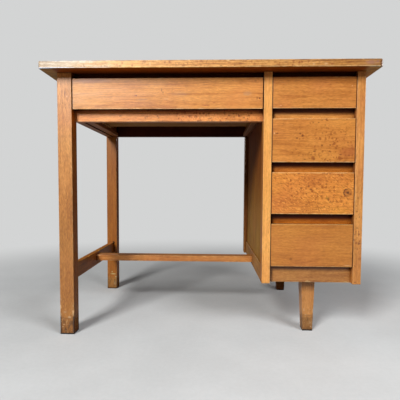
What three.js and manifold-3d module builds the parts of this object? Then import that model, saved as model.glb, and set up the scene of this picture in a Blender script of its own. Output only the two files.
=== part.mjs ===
// Single-pedestal wooden desk: slab top on a mortised leg frame at the left and a
// frame-and-panel pedestal of four drawers at the right, with one wide drawer over
// the knee space. The drawers have no handles: each front is pulled by its lower
// edge, reached through the gap left in front of a recessed rail.
//
// Units are millimetres. Boards are laid out in joiner's coordinates: x from the
// outer face of the left legs, y from the front face of the legs (positive to the
// rear), z from the floor. The bench group moves that to the frame of the part: the
// origin on the floor under the middle of the top, +Y to the rear, +Z up.
//
// A name ending in _X, _Y or _Z is a [low, high] range along that axis.
import * as THREE from 'three';
import { mergeVertices } from 'three/addons/utils/BufferGeometryUtils.js';
import Module from 'manifold-3d';

const wasm = await Module();
wasm.setup();

// ---------------------------------------------------------------- ranges
const grow = ([low, high], by) => [low - by, high + by];
const inset = (range, by) => grow(range, -by);
const from = (start, length) => [start, start + length];
const centred = (middle, size) => grow([middle, middle], size / 2);

// ---------------------------------------------------------------- overall dimensions
const TOP_W = 912;                                // slab: about 3 shaku by 2 shaku
const TOP_D = 606;
const TOP_T = 20;
const TOP_CORNER_R = 9;                           // plan radius of the slab's corners
const HEIGHT = 760;                               // 2.5 shaku
const UNDER = HEIGHT - TOP_T;                     // underside of the slab
const OVER_LEFT = 35.5;                           // slab past the leg frame
const OVER_FRONT = 42;
const FRAME_W = 848;                              // over the legs and posts
const FRAME_D = 548;
const LEG = 40;                                   // square legs
const REAR_Y0 = FRAME_D - LEG;                    // front face of the rear legs and posts
const REAR_LEG_Y = [REAR_Y0, FRAME_D];

// ---------------------------------------------------------------- joint allowances
const FIT = 0.25;                                 // clearance round a tenon or panel
const PAST = 1;                                   // how far a cutter runs past a face
const ROOT = 5;                                   // tenon overlap into its own board
const GROOVE = 6;                                 // depth of the panel grooves
const GROOVE_SPARE = 0.5;                         // extra depth where a panel floats

// ---------------------------------------------------------------- drawers
// front: lower and upper edge of the front; boxTop: upper edge of the box sides
const DRAWERS = {
  knee: { front: [640, 725], boxTop: 714.25 },
  top: { front: [641, 726], boxTop: 715.25 },
  second: { front: [494, 613.5], boxTop: 605.25 },
  third: { front: [351, 466.5], boxTop: 458.25 },
  bottom: { front: [204, 323], boxTop: 315.25 },
};
const LIP = 3;                                    // front hangs this far below the rail's top
const railTop = (drawer) => drawer.front[0] + LIP;

// ---------------------------------------------------------------- leg frame
const APRON_Z0 = 627;                             // lower edge of the side apron
const APRON_X = from(2, 22);
const APRON_TENON = 20;                           // tenon length
const APRON_TENON_X = inset(APRON_X, 6);
const APRON_TENON_Z = [APRON_Z0 + 12, UNDER - 14];

const REAR_APRON_Z = [630, UNDER];
const REAR_APRON_Y = from(REAR_Y0 + 10, 22);
const REAR_APRON_TENON = 14;
const REAR_APRON_TENON_Y = inset(REAR_APRON_Y, 6);
const REAR_APRON_TENON_Z = [REAR_APRON_Z[0] + 12, UNDER - 14];

const LOW_STRETCHER_X = [10, 26];                 // low stretcher at the left
const LOW_STRETCHER_Z = [148, 194];
const LOW_TENON = 20;
const LOW_TENON_X = inset(LOW_STRETCHER_X, 4);
const LOW_TENON_Z = inset(LOW_STRETCHER_Z, 8);

const CENTRE_Y = [266, 308];                      // centre stretcher, laid flat
const CENTRE_Z = [164, 184];
const CENTRE_TENON_Y = inset(CENTRE_Y, 6);
const CENTRE_TENON_Z = inset(CENTRE_Z, 4);

// ---------------------------------------------------------------- pedestal
const PED_X0 = 574;                               // knee side of the pedestal
const PED_Z0 = 156;                               // underside of the pedestal
const STILE_D = 38;
const STILE_X = from(PED_X0, 22.5);               // left front stile
const POST_PROUD = 8;                             // left rear post out of the knee side
const LEFT_POST_X = from(PED_X0 - POST_PROUD, 31);

// a left-hand x range as it is, or mirrored across the pedestal for the right
const mirror = ([low, high]) => [PED_X0 + FRAME_W - high, PED_X0 + FRAME_W - low];
const onSide = (side, range) => (side === 'left' ? range : mirror(range));

const OPENING_X = [STILE_X[1], mirror(STILE_X)[0]];      // drawer opening
const BACK_X = [LEFT_POST_X[1], OPENING_X[1]];           // between the rear posts
const BACK_Y = [534, 539];                               // back panel

// side frames, left-hand x ranges
const SIDE_X = from(PED_X0, 20);                  // side rails
const SIDE_Y = [STILE_D, REAR_Y0];                // from the stiles to the posts
const BETWEEN_SIDES_X = [SIDE_X[1], mirror(SIDE_X)[0]];
const LOWER_SIDE_Z = [PED_Z0, 202];
const UPPER_SIDE_Z = [APRON_Z0, UNDER];
const PANEL_X = from(PED_X0 + 5, 5);
const PANEL_GROOVE_X = grow(PANEL_X, FIT);
const PANEL_GAP_Z = [LOWER_SIDE_Z[1], APRON_Z0];  // between the side rails
const SIDE_TENON = 8;
const SIDE_TENON_X = [PED_X0 + 7, PED_X0 + 14];
const LOWER_TENON_Z = [PED_Z0 + 8, LOWER_SIDE_Z[1] - 10];
const UPPER_TENON_Z = [APRON_Z0 + 14, UNDER - 26];
const CENTRE_IN_PEDESTAL_X = from(PED_X0, 11);    // centre stretcher's tenon

// bottom board, tongued into the lower side rails
const BOARD_T = 24;
const BOARD_Z1 = railTop(DRAWERS.bottom);
const BOARD_Z0 = BOARD_Z1 - BOARD_T;
const BOARD_Z = [BOARD_Z0, BOARD_Z1];
const TONGUE = 6;                                 // how far the tongue stands out
const TONGUE_T = 8;

// cross rails, behind the front plane
const DIVIDER_H = 35;
const DIVIDER_Y = from(20, 42);
const dividerZ = (drawer) => [railTop(drawer) - DIVIDER_H, railTop(drawer)];
const DIVIDERS = [
  { name: 'upper', z: dividerZ(DRAWERS.top) },
  { name: 'middle', z: dividerZ(DRAWERS.second) },
  { name: 'lower', z: dividerZ(DRAWERS.third) },
];
const BOTTOM_RAIL_Z = [PED_Z0, BOARD_Z1];
const BOTTOM_RAIL_TENON_Z = inset(BOTTOM_RAIL_Z, 8);
const CROSS_TENON = 10;
const CROSS_TENON_Y = [21, 28];
const dividerTenonZ = (z) => inset(z, 6);

// ---------------------------------------------------------------- rails over the knee space
const KNEE_OPENING_X = [LEG, PED_X0];
const KNEE_RAIL_Z = [610, railTop(DRAWERS.knee)];
const KNEE_RAIL_Y = from(25, 22);
const KNEE_TENON_Z = inset(KNEE_RAIL_Z, 6);
const KNEE_IN_LEG_Y = [28, 36];
const KNEE_IN_STILE_Y = [26, 31];
const TOP_RAIL_Y = [22, 62];                      // rail under the slab's front
const TOP_RAIL_Z = [UNDER - 20, UNDER];
const TOP_TENON_Z = inset(TOP_RAIL_Z, 4);
const TOP_IN_LEG_Y = [26, 36];
const TOP_IN_STILE_Y = [25, 35];
const RAIL_IN_LEG = 12;                           // tenon length into the leg
const RAIL_IN_STILE = 10;                         // and into a stile

// ---------------------------------------------------------------- drawer runners
const RUNNER_H = 12;
const runnerZ = (top) => [top - RUNNER_H, top];
const runnerTenonZ = (top) => inset(runnerZ(top), 2);
const RUNNER_TENON = 8;
const RUNNER_FRONT_TENON_X = from(600, 8);        // into the divider rail, left-hand
const RUNNER_REAR_TENON_X = from(587, 8);         // into the rear post, left-hand
const RUNNER_FRONT_MORTISE_Y = [DIVIDER_Y[1] - RUNNER_TENON, DIVIDER_Y[1]];

// ---------------------------------------------------------------- feet
const FOOT_X = 718.5;                             // middle of the feet
const FOOT_TOP_W = 39;
const FOOT_BOTTOM_W = 29;
const FOOT_TOP_D = 44;
const FOOT_BOTTOM_D = 30;
const FOOT_TAPER_Z = 150;                         // height where the taper ends
// outerY: the upright face; inward: direction of the depth along y
const FEET = [
  { name: 'front', outerY: 62, inward: 1 },
  { name: 'rear', outerY: FRAME_D, inward: -1 },
].map((foot) => ({ ...foot, middleY: foot.outerY + foot.inward * FOOT_TOP_D / 2 }));
const FOOT_TENON = 15;
const FOOT_TENON_X = centred(FOOT_X, 24);
const footTenonY = (foot) => centred(foot.middleY, 20);

// ---------------------------------------------------------------- materials
const COLORS = { frame: 0xc98a45, dark: 0xa8703a, inner: 0xd3ab72, ply: 0xcaa06a };

function wood(color) {
  return new THREE.MeshStandardMaterial({ color, roughness: 0.45, metalness: 0 });
}

// ---------------------------------------------------------------- shapes
function box(x, y, z) {
  const size = [x, y, z].map(([low, high]) => high - low);
  const middle = [x, y, z].map(([low, high]) => (low + high) / 2);
  return new THREE.BoxGeometry(...size).translate(...middle);
}

// cutter for a tenon's mortise: wider all round by FIT; along the tenon's axis it
// runs PAST both ends, for depth at the blind end and a clean cut at the mouth
function mortise(axis, x, y, z) {
  const by = (name) => (name === axis ? PAST : FIT);
  return box(grow(x, by('x')), grow(y, by('y')), grow(z, by('z')));
}

// range of a cutter sunk from a face, +1 or -1 along the axis, starting PAST outside it
function sunk(face, direction, depth) {
  return direction > 0 ? [face - PAST, face + depth] : [face - depth, face + PAST];
}

// a profile of [y, z] points carried along x
function alongX(points, [x0, x1]) {
  const shape = new THREE.Shape(points.map(([y, z]) => new THREE.Vector2(y, z)));
  const options = { depth: x1 - x0, bevelEnabled: false, steps: 1 };
  // extrusion runs along local z; turn (y, z, x) into (x, y, z)
  const turn = new THREE.Matrix4().set(
    0, 0, 1, x0,
    1, 0, 0, 0,
    0, 1, 0, 0,
    0, 0, 0, 1,
  );
  return new THREE.ExtrudeGeometry(shape, options).applyMatrix4(turn);
}

function solid(geometry) {
  const bare = geometry.clone();
  bare.deleteAttribute('normal');
  bare.deleteAttribute('uv');
  const merged = mergeVertices(bare, 1e-4);
  return new wasm.Manifold(new wasm.Mesh({
    numProp: 3,
    vertProperties: new Float32Array(merged.attributes.position.array),
    triVerts: new Uint32Array(merged.index.array),
  }));
}

function toGeometry(manifold) {
  const { vertProperties, triVerts } = manifold.getMesh();
  const geometry = new THREE.BufferGeometry();
  const positions = new THREE.BufferAttribute(new Float32Array(vertProperties), 3);
  geometry.setAttribute('position', positions);
  geometry.setIndex(new THREE.BufferAttribute(new Uint32Array(triVerts), 1));
  geometry.computeVertexNormals();
  return geometry;
}

const desk = new THREE.Group();
const bench = new THREE.Group();
bench.position.set(-(TOP_W / 2 - OVER_LEFT), -(TOP_D / 2 - OVER_FRONT), 0);
desk.add(bench);

// joins the first list of shapes and cuts the second list away
function piece(name, add, cut = [], color = COLORS.frame, parent = bench) {
  let body = solid(add[0]);
  for (const shape of add.slice(1)) body = body.add(solid(shape));
  for (const shape of cut) body = body.subtract(solid(shape));
  const mesh = new THREE.Mesh(toGeometry(body), wood(color));
  mesh.name = name;
  parent.add(mesh);
}

// ---------------------------------------------------------------- slab top
function deskTop() {
  const [x0, x1] = inset(from(-OVER_LEFT, TOP_W), TOP_CORNER_R);
  const [y0, y1] = inset(from(-OVER_FRONT, TOP_D), TOP_CORNER_R);
  const outline = new THREE.Shape();
  // corner centres, anticlockwise from front right; straight edges join the arcs
  [[x1, y0], [x1, y1], [x0, y1], [x0, y0]].forEach(([x, y], i) => {
    const start = (i - 1) * Math.PI / 2;
    outline.absarc(x, y, TOP_CORNER_R, start, start + Math.PI / 2, false);
  });
  const options = { depth: TOP_T, bevelEnabled: false, curveSegments: 8, steps: 1 };
  piece('desk_top', [new THREE.ExtrudeGeometry(outline, options).translate(0, 0, UNDER)]);
}

// ---------------------------------------------------------------- left leg frame
// mortises for the side apron and low stretcher; face and direction give where
// the tenons enter the leg along y
function legSideMortises(face, direction) {
  const depth = (length) => (direction > 0 ? [face, face + length] : [face - length, face]);
  return [
    mortise('y', APRON_TENON_X, depth(APRON_TENON), APRON_TENON_Z),
    mortise('y', LOW_TENON_X, depth(LOW_TENON), LOW_TENON_Z),
  ];
}

function leftLegs() {
  const railX = [LEG - RAIL_IN_LEG, LEG];
  piece('front_left_leg', [box([0, LEG], [0, LEG], [0, UNDER])], [
    ...legSideMortises(LEG, -1),
    mortise('x', railX, KNEE_IN_LEG_Y, KNEE_TENON_Z),
    mortise('x', railX, TOP_IN_LEG_Y, TOP_TENON_Z),
  ]);
  const rearApronX = [LEG - REAR_APRON_TENON, LEG];
  piece('rear_left_leg', [box([0, LEG], REAR_LEG_Y, [0, UNDER])], [
    ...legSideMortises(REAR_Y0, 1),
    mortise('x', rearApronX, REAR_APRON_TENON_Y, REAR_APRON_TENON_Z),
  ]);
}

function leftSideRails() {
  const betweenLegsY = [LEG, REAR_Y0];
  piece('left_side_apron', [
    box(APRON_X, betweenLegsY, [APRON_Z0, UNDER]),
    box(APRON_TENON_X, grow(betweenLegsY, APRON_TENON), APRON_TENON_Z),
  ]);
  const face = LOW_STRETCHER_X[1];
  const centreTenonX = [face - 10, face];
  piece('left_side_stretcher', [
    box(LOW_STRETCHER_X, betweenLegsY, LOW_STRETCHER_Z),
    box(LOW_TENON_X, grow(betweenLegsY, LOW_TENON), LOW_TENON_Z),
  ], [mortise('x', centreTenonX, CENTRE_TENON_Y, CENTRE_TENON_Z)]);
  piece('centre_stretcher', [
    box([face, PED_X0], CENTRE_Y, CENTRE_Z),
    box([centreTenonX[0], CENTRE_IN_PEDESTAL_X[1]], CENTRE_TENON_Y, CENTRE_TENON_Z),
  ]);
}

// ---------------------------------------------------------------- rails over the knee space
// a rail from the left leg to a stile, with a different tenon at each end
function frontRail(name, stileFace, y, z, legTenonY, stileTenonY, tenonZ) {
  piece(name, [
    box([LEG, stileFace], y, z),
    box([LEG - RAIL_IN_LEG, LEG + ROOT], legTenonY, tenonZ),
    box([stileFace - ROOT, stileFace + RAIL_IN_STILE], stileTenonY, tenonZ),
  ]);
}

function kneeRails() {
  frontRail('knee_drawer_rail', PED_X0, KNEE_RAIL_Y, KNEE_RAIL_Z,
    KNEE_IN_LEG_Y, KNEE_IN_STILE_Y, KNEE_TENON_Z);
  frontRail('front_top_rail', OPENING_X[1], TOP_RAIL_Y, TOP_RAIL_Z,
    TOP_IN_LEG_Y, TOP_IN_STILE_Y, TOP_TENON_Z);
  const apronX = [LEG, LEFT_POST_X[0]];
  piece('rear_apron', [
    box(apronX, REAR_APRON_Y, REAR_APRON_Z),
    box(grow(apronX, REAR_APRON_TENON), REAR_APRON_TENON_Y, REAR_APRON_TENON_Z),
  ]);
}

// ---------------------------------------------------------------- pedestal: stiles and posts
// mortises for both side rails and the groove for the side panel's edge
function sideFrameCuts(side, face, direction) {
  const tenonY = direction > 0 ? [face, face + SIDE_TENON] : [face - SIDE_TENON, face];
  const tenonX = onSide(side, SIDE_TENON_X);
  const grooveY = sunk(face, direction, GROOVE + GROOVE_SPARE);
  return [
    mortise('y', tenonX, tenonY, LOWER_TENON_Z),
    mortise('y', tenonX, tenonY, UPPER_TENON_Z),
    box(onSide(side, PANEL_GROOVE_X), grooveY, grow(PANEL_GAP_Z, 2)),
  ];
}

function stile(side, extraCuts) {
  const crossX = onSide(side, [OPENING_X[0] - CROSS_TENON, OPENING_X[0]]);
  const crossTenons = [...DIVIDERS.map(({ z }) => dividerTenonZ(z)), BOTTOM_RAIL_TENON_Z];
  piece(`pedestal_${side}_stile`, [box(onSide(side, STILE_X), [0, STILE_D], [PED_Z0, UNDER])], [
    ...crossTenons.map((z) => mortise('x', crossX, CROSS_TENON_Y, z)),
    ...sideFrameCuts(side, STILE_D, -1),
    ...extraCuts,
  ]);
}

// the left parts cut away round the front top rail
const topRailNotch = (x, y) => box(grow(x, PAST), y, [TOP_RAIL_Z[0] - FIT, UNDER + PAST]);

function stiles() {
  stile('left', [
    mortise('x', from(PED_X0, RAIL_IN_STILE), KNEE_IN_STILE_Y, KNEE_TENON_Z),
    topRailNotch(STILE_X, [TOP_RAIL_Y[0] - FIT, STILE_D + PAST]),
  ]);
  stile('right', [
    mortise('x', from(OPENING_X[1], RAIL_IN_STILE), TOP_IN_STILE_Y, TOP_TENON_Z),
  ]);
}

// backGrooveX takes the back panel, from the bottom board up to the slab
function rearPost(side, x, backGrooveX, extraCuts = []) {
  const runnerX = onSide(side, RUNNER_REAR_TENON_X);
  const runnerY = from(REAR_Y0, RUNNER_TENON);
  const housed = [DRAWERS.second, DRAWERS.third];
  piece(`pedestal_rear_${side}_post`, [box(x, REAR_LEG_Y, [PED_Z0, UNDER])], [
    ...sideFrameCuts(side, REAR_Y0, 1),
    ...housed.map((drawer) => mortise('y', runnerX, runnerY, runnerTenonZ(railTop(drawer)))),
    box(backGrooveX, grow(BACK_Y, FIT), [BOARD_Z1 - GROOVE, UNDER + PAST]),
    ...extraCuts,
  ]);
}

function rearPosts() {
  const depth = GROOVE + GROOVE_SPARE;
  const apronX = from(LEFT_POST_X[0], REAR_APRON_TENON);
  rearPost('left', LEFT_POST_X, sunk(BACK_X[0], -1, depth), [
    mortise('x', apronX, REAR_APRON_TENON_Y, REAR_APRON_TENON_Z),
  ]);
  rearPost('right', mirror(STILE_X), sunk(BACK_X[1], 1, depth));
}

// ---------------------------------------------------------------- pedestal: side frames
function sideRail(side, level, z, tenonZ, grooveZ, extraCuts) {
  piece(`pedestal_${side}_${level}_rail`, [
    box(onSide(side, SIDE_X), SIDE_Y, z),
    box(onSide(side, SIDE_TENON_X), grow(SIDE_Y, SIDE_TENON), tenonZ),
  ], [
    box(onSide(side, PANEL_GROOVE_X), grow(SIDE_Y, PAST), grooveZ),
    ...extraCuts,
  ]);
}

function lowerSideRail(side, extraCuts = []) {
  const tongueX = onSide(side, sunk(SIDE_X[1], -1, TONGUE + FIT));
  const grooveZ = sunk(LOWER_SIDE_Z[1], -1, GROOVE);
  sideRail(side, 'bottom', LOWER_SIDE_Z, LOWER_TENON_Z, grooveZ, [
    box(tongueX, grow(SIDE_Y, PAST), from(BOARD_Z0, TONGUE_T + FIT)),
    ...extraCuts,
  ]);
}

function upperSideRail(side, extraCuts = []) {
  const grooveZ = sunk(APRON_Z0, 1, GROOVE + GROOVE_SPARE);
  sideRail(side, 'top', UPPER_SIDE_Z, UPPER_TENON_Z, grooveZ, extraCuts);
}

function sidePanel(side) {
  const x = onSide(side, PANEL_X);
  piece(`pedestal_${side}_panel`, [
    box(x, grow(SIDE_Y, GROOVE), grow(PANEL_GAP_Z, 1.5)),
    box(x, SIDE_Y, grow(PANEL_GAP_Z, GROOVE)),
  ], [], COLORS.ply);
}

function sideFrames() {
  lowerSideRail('left', [
    mortise('x', CENTRE_IN_PEDESTAL_X, CENTRE_TENON_Y, CENTRE_TENON_Z),
  ]);
  lowerSideRail('right');
  upperSideRail('left', [topRailNotch(SIDE_X, [STILE_D - PAST, TOP_RAIL_Y[1] + FIT])]);
  upperSideRail('right');
  sidePanel('left');
  sidePanel('right');
}

function backPanel() {
  const grooveFloor = BOARD_Z1 - GROOVE;
  piece('pedestal_back_panel', [
    box(grow(BACK_X, GROOVE), BACK_Y, [grooveFloor + GROOVE_SPARE, UNDER]),
    box(BACK_X, BACK_Y, [grooveFloor, BOARD_Z1]),
  ], [], COLORS.ply);
}

// ---------------------------------------------------------------- pedestal: cross rails, bottom
function crossRail(name, y, z, tenonZ, cuts, color) {
  piece(name, [
    box(OPENING_X, y, z),
    box(grow(OPENING_X, CROSS_TENON), CROSS_TENON_Y, tenonZ),
  ], cuts, color);
}

function crossRails() {
  for (const { name, z } of DIVIDERS) {
    const runnerMortises = ['left', 'right'].map((side) => mortise('y',
      onSide(side, RUNNER_FRONT_TENON_X), RUNNER_FRONT_MORTISE_Y, runnerTenonZ(z[1])));
    crossRail(`${name}_divider_rail`, DIVIDER_Y, z, dividerTenonZ(z), runnerMortises, COLORS.dark);
  }
  crossRail('pedestal_front_bottom_rail', [DIVIDER_Y[0], STILE_D], BOTTOM_RAIL_Z,
    BOTTOM_RAIL_TENON_Z);
}

function bottomBoard() {
  piece('pedestal_bottom_board', [
    box(BETWEEN_SIDES_X, SIDE_Y, BOARD_Z),
    box(BACK_X, [REAR_Y0 - 2, FRAME_D], BOARD_Z),
    box(grow(BETWEEN_SIDES_X, TONGUE), SIDE_Y, from(BOARD_Z0, TONGUE_T)),
  ], [
    ...FEET.map((foot) => mortise('z', FOOT_TENON_X, footTenonY(foot), from(BOARD_Z0, FOOT_TENON))),
    box(grow(BACK_X, PAST), grow(BACK_Y, FIT), sunk(BOARD_Z1, -1, GROOVE)),
  ]);
}

// ---------------------------------------------------------------- feet
// upright on the outer face, tapered on the other three up to FOOT_TAPER_Z
function footBody({ outerY, inward }) {
  const ring = (width, depth, z) => {
    const [x0, x1] = centred(FOOT_X, width);
    const innerY = outerY + inward * depth;
    return [[x0, outerY, z], [x1, outerY, z], [x1, innerY, z], [x0, innerY, z]];
  };
  const rings = [
    ring(FOOT_BOTTOM_W, FOOT_BOTTOM_D, 0),
    ring(FOOT_TOP_W, FOOT_TOP_D, FOOT_TAPER_Z),
    ring(FOOT_TOP_W, FOOT_TOP_D, BOARD_Z0),
  ];
  // bottom and top faces, then the four sides of each stage
  const quads = [[3, 2, 1, 0], [8, 9, 10, 11]];
  for (const base of [0, 4]) {
    for (let i = 0; i < 4; i++) {
      const here = base + i;
      const next = base + (i + 1) % 4;
      quads.push([here, next, next + 4, here + 4]);
    }
  }
  // a foot laid out towards the front is a mirror image, so its faces are reversed
  const index = quads.flatMap((quad) => {
    const [a, b, c, d] = inward > 0 ? quad : [...quad].reverse();
    return [a, b, c, a, c, d];
  });
  const geometry = new THREE.BufferGeometry();
  const positions = new Float32Array(rings.flat(2));
  geometry.setAttribute('position', new THREE.BufferAttribute(positions, 3));
  geometry.setIndex(index);
  return geometry;
}

function feet() {
  for (const foot of FEET) {
    const tenonZ = [BOARD_Z0 - ROOT, BOARD_Z0 + FOOT_TENON];
    piece(`pedestal_${foot.name}_foot`, [
      footBody(foot),
      box(FOOT_TENON_X, footTenonY(foot), tenonZ),
    ]);
  }
}

// ---------------------------------------------------------------- drawer runners
// left: an angle strip on the side apron, with a fence that guides the drawer; both
// runners go on past the drawer's box to the rear leg and post
function kneeRunners() {
  const fenceH = 18;
  const y = [KNEE_RAIL_Y[1], REAR_Y0];
  const z = runnerZ(KNEE_RAIL_Z[1]);
  piece('knee_drawer_left_runner', [
    box([APRON_X[1], LEG + 9], y, z),
    box([APRON_X[1], LEG], y, [z[0], z[1] + fenceH]),
  ], [], COLORS.dark);
  piece('knee_drawer_right_runner', [box([PED_X0 - 16, PED_X0], y, z)], [], COLORS.dark);
}

// outerX and innerX are the left-hand runner's edges
function pedestalRunner(name, side, outerX, inPost) {
  const innerX = PED_X0 + 37;
  const top = railTop(DRAWERS[name]);
  const tenonZ = runnerTenonZ(top);
  const frontY = [RUNNER_FRONT_MORTISE_Y[0], DIVIDER_Y[1] + ROOT];
  const rearY = [REAR_Y0 - ROOT, REAR_Y0 + RUNNER_TENON];
  const shapes = [
    box(onSide(side, [outerX, innerX]), [DIVIDER_Y[1], REAR_Y0], runnerZ(top)),
    box(onSide(side, RUNNER_FRONT_TENON_X), frontY, tenonZ),
  ];
  if (inPost) shapes.push(box(onSide(side, RUNNER_REAR_TENON_X), rearY, tenonZ));
  piece(`${name}_drawer_${side}_runner`, shapes, [], COLORS.dark);
}

// the top pair lies between the side rails; the others reach out towards the panels
// and are housed in the rear posts
function pedestalRunners() {
  for (const name of ['top', 'second', 'third']) {
    const inPost = name !== 'top';
    const outerX = inPost ? PED_X0 + 11 : SIDE_X[1];
    for (const side of ['left', 'right']) pedestalRunner(name, side, outerX, inPost);
  }
}

// ---------------------------------------------------------------- drawers
const FRONT_Y = from(1, 18);                      // drawer front, set back from the stiles
const UNDERCUT = 5;                               // rise of the finger slope under a front
const LAP = 10;                                   // sides lapped into the front
const RUN_GAP = 0.25;                             // drawer side over its runner
const BOX_INSET = 1;                              // box sides in from the ends of the front
const BOTTOM_T = 4;
const BOTTOM_RISE = 5.75;                         // bottom above the sides' lower edge
const BOTTOM_GROOVE = 5;
const BOTTOM_TONGUE = BOTTOM_GROOVE - 0.5;        // how far the bottom enters its groove
const BACK_HOUSING = 4;                           // back let into the sides
const BACK_TONGUE = 3.5;
const BACK_DROP = 6;                              // back below the sides' upper edge

// front: undercut along its lower edge, rebated at both ends for the sides
// sides: lapped into the front, grooved for the bottom
// back: let in between the sides, just above the bottom
// gap: front to the opening at each end; boxRear: rear end of the sides
function drawer(name, { openingX, gap, sideT, boxRear }) {
  const { front: frontZ, boxTop } = DRAWERS[name];
  const [faceY, innerY] = FRONT_Y;
  const frontX = inset(openingX, gap);
  const boxX = inset(frontX, BOX_INSET);
  const insideX = inset(boxX, sideT);
  const sideY = [innerY - LAP, boxRear];
  const sideZ = [frontZ[0] + LIP + RUN_GAP, boxTop];
  const bottomZ = from(sideZ[0] + BOTTOM_RISE, BOTTOM_T);
  const backY = [boxRear - 18, boxRear - 8];
  const grooveZ = grow(bottomZ, FIT);
  const group = new THREE.Group();
  bench.add(group);

  const profile = [
    [faceY, frontZ[0]],
    [innerY, frontZ[0] + UNDERCUT],
    [innerY, frontZ[1]],
    [faceY, frontZ[1]],
  ];
  const rebateY = sunk(innerY, -1, LAP);
  const rebateZ = grow(frontZ, PAST);
  piece(`${name}_drawer_front`, [alongX(profile, frontX)], [
    box([frontX[0] - PAST, insideX[0]], rebateY, rebateZ),
    box([insideX[1], frontX[1] + PAST], rebateY, rebateZ),
    box(grow(insideX, PAST), sunk(innerY, -1, BOTTOM_GROOVE), grooveZ),
  ], COLORS.frame, group);

  const sides = [
    { side: 'left', x: [boxX[0], insideX[0]], face: insideX[0], outward: -1 },
    { side: 'right', x: [insideX[1], boxX[1]], face: insideX[1], outward: 1 },
  ];
  for (const { side, x, face, outward } of sides) {
    const housingX = sunk(face, outward, BACK_HOUSING);
    piece(`${name}_drawer_${side}_side`, [box(x, sideY, sideZ)], [
      box(sunk(face, outward, BOTTOM_GROOVE), grow(sideY, PAST), grooveZ),
      box(housingX, grow(backY, FIT), grow([bottomZ[1], boxTop], PAST)),
    ], COLORS.inner, group);
  }

  const backZ = [bottomZ[1] + FIT, boxTop - BACK_DROP];
  piece(`${name}_drawer_back`, [box(grow(insideX, BACK_TONGUE), backY, backZ)],
    [], COLORS.inner, group);
  piece(`${name}_drawer_bottom`, [
    box(grow(insideX, BOTTOM_TONGUE), [innerY, boxRear], bottomZ),
    box(insideX, [innerY - BOTTOM_TONGUE, innerY + PAST], bottomZ),
  ], [], COLORS.ply, group);
}

function drawers() {
  // the wide drawer is shallower than those of the pedestal
  drawer('knee', { openingX: KNEE_OPENING_X, gap: 2, sideT: 12, boxRear: 374 });
  for (const name of ['top', 'second', 'third', 'bottom']) {
    drawer(name, { openingX: OPENING_X, gap: 1, sideT: 10, boxRear: 490 });
  }
}

// ---------------------------------------------------------------- assembly
deskTop();
leftLegs();
leftSideRails();
kneeRails();
stiles();
rearPosts();
sideFrames();
backPanel();
crossRails();
bottomBoard();
feet();
kneeRunners();
pedestalRunners();
drawers();

export default desk;
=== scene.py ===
# A wooden single-pedestal desk in old varnish: procedural grain, worn arrises, stains, dirty feet.
# The frame is in metres: x runs to the right, y to the back and z up from the floor. The front
# faces -y, the drawer pedestal stands on the right (+x) and the knee drawer is to its left.
import bpy
import math
from dataclasses import dataclass
from functools import cached_property
from mathutils import Vector, Matrix

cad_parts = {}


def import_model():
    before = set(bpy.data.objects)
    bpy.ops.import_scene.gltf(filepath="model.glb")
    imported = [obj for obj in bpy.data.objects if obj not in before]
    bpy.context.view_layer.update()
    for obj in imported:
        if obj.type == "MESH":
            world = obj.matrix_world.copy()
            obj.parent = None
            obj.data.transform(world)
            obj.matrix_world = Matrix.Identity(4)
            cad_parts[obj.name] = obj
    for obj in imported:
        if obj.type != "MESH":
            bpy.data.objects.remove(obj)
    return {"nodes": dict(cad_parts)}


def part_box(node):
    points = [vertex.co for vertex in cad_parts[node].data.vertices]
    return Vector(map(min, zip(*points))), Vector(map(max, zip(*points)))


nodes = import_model()["nodes"]
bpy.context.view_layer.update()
scene = bpy.context.scene
MM = 0.001


def srgb(*rgb):
    """Linear RGBA of an 8-bit sRGB colour."""
    def linear(level):
        level /= 255
        return level / 12.92 if level <= 0.04045 else ((level + 0.055) / 1.055) ** 2.4
    return (*map(linear, rgb), 1.0)


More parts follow.
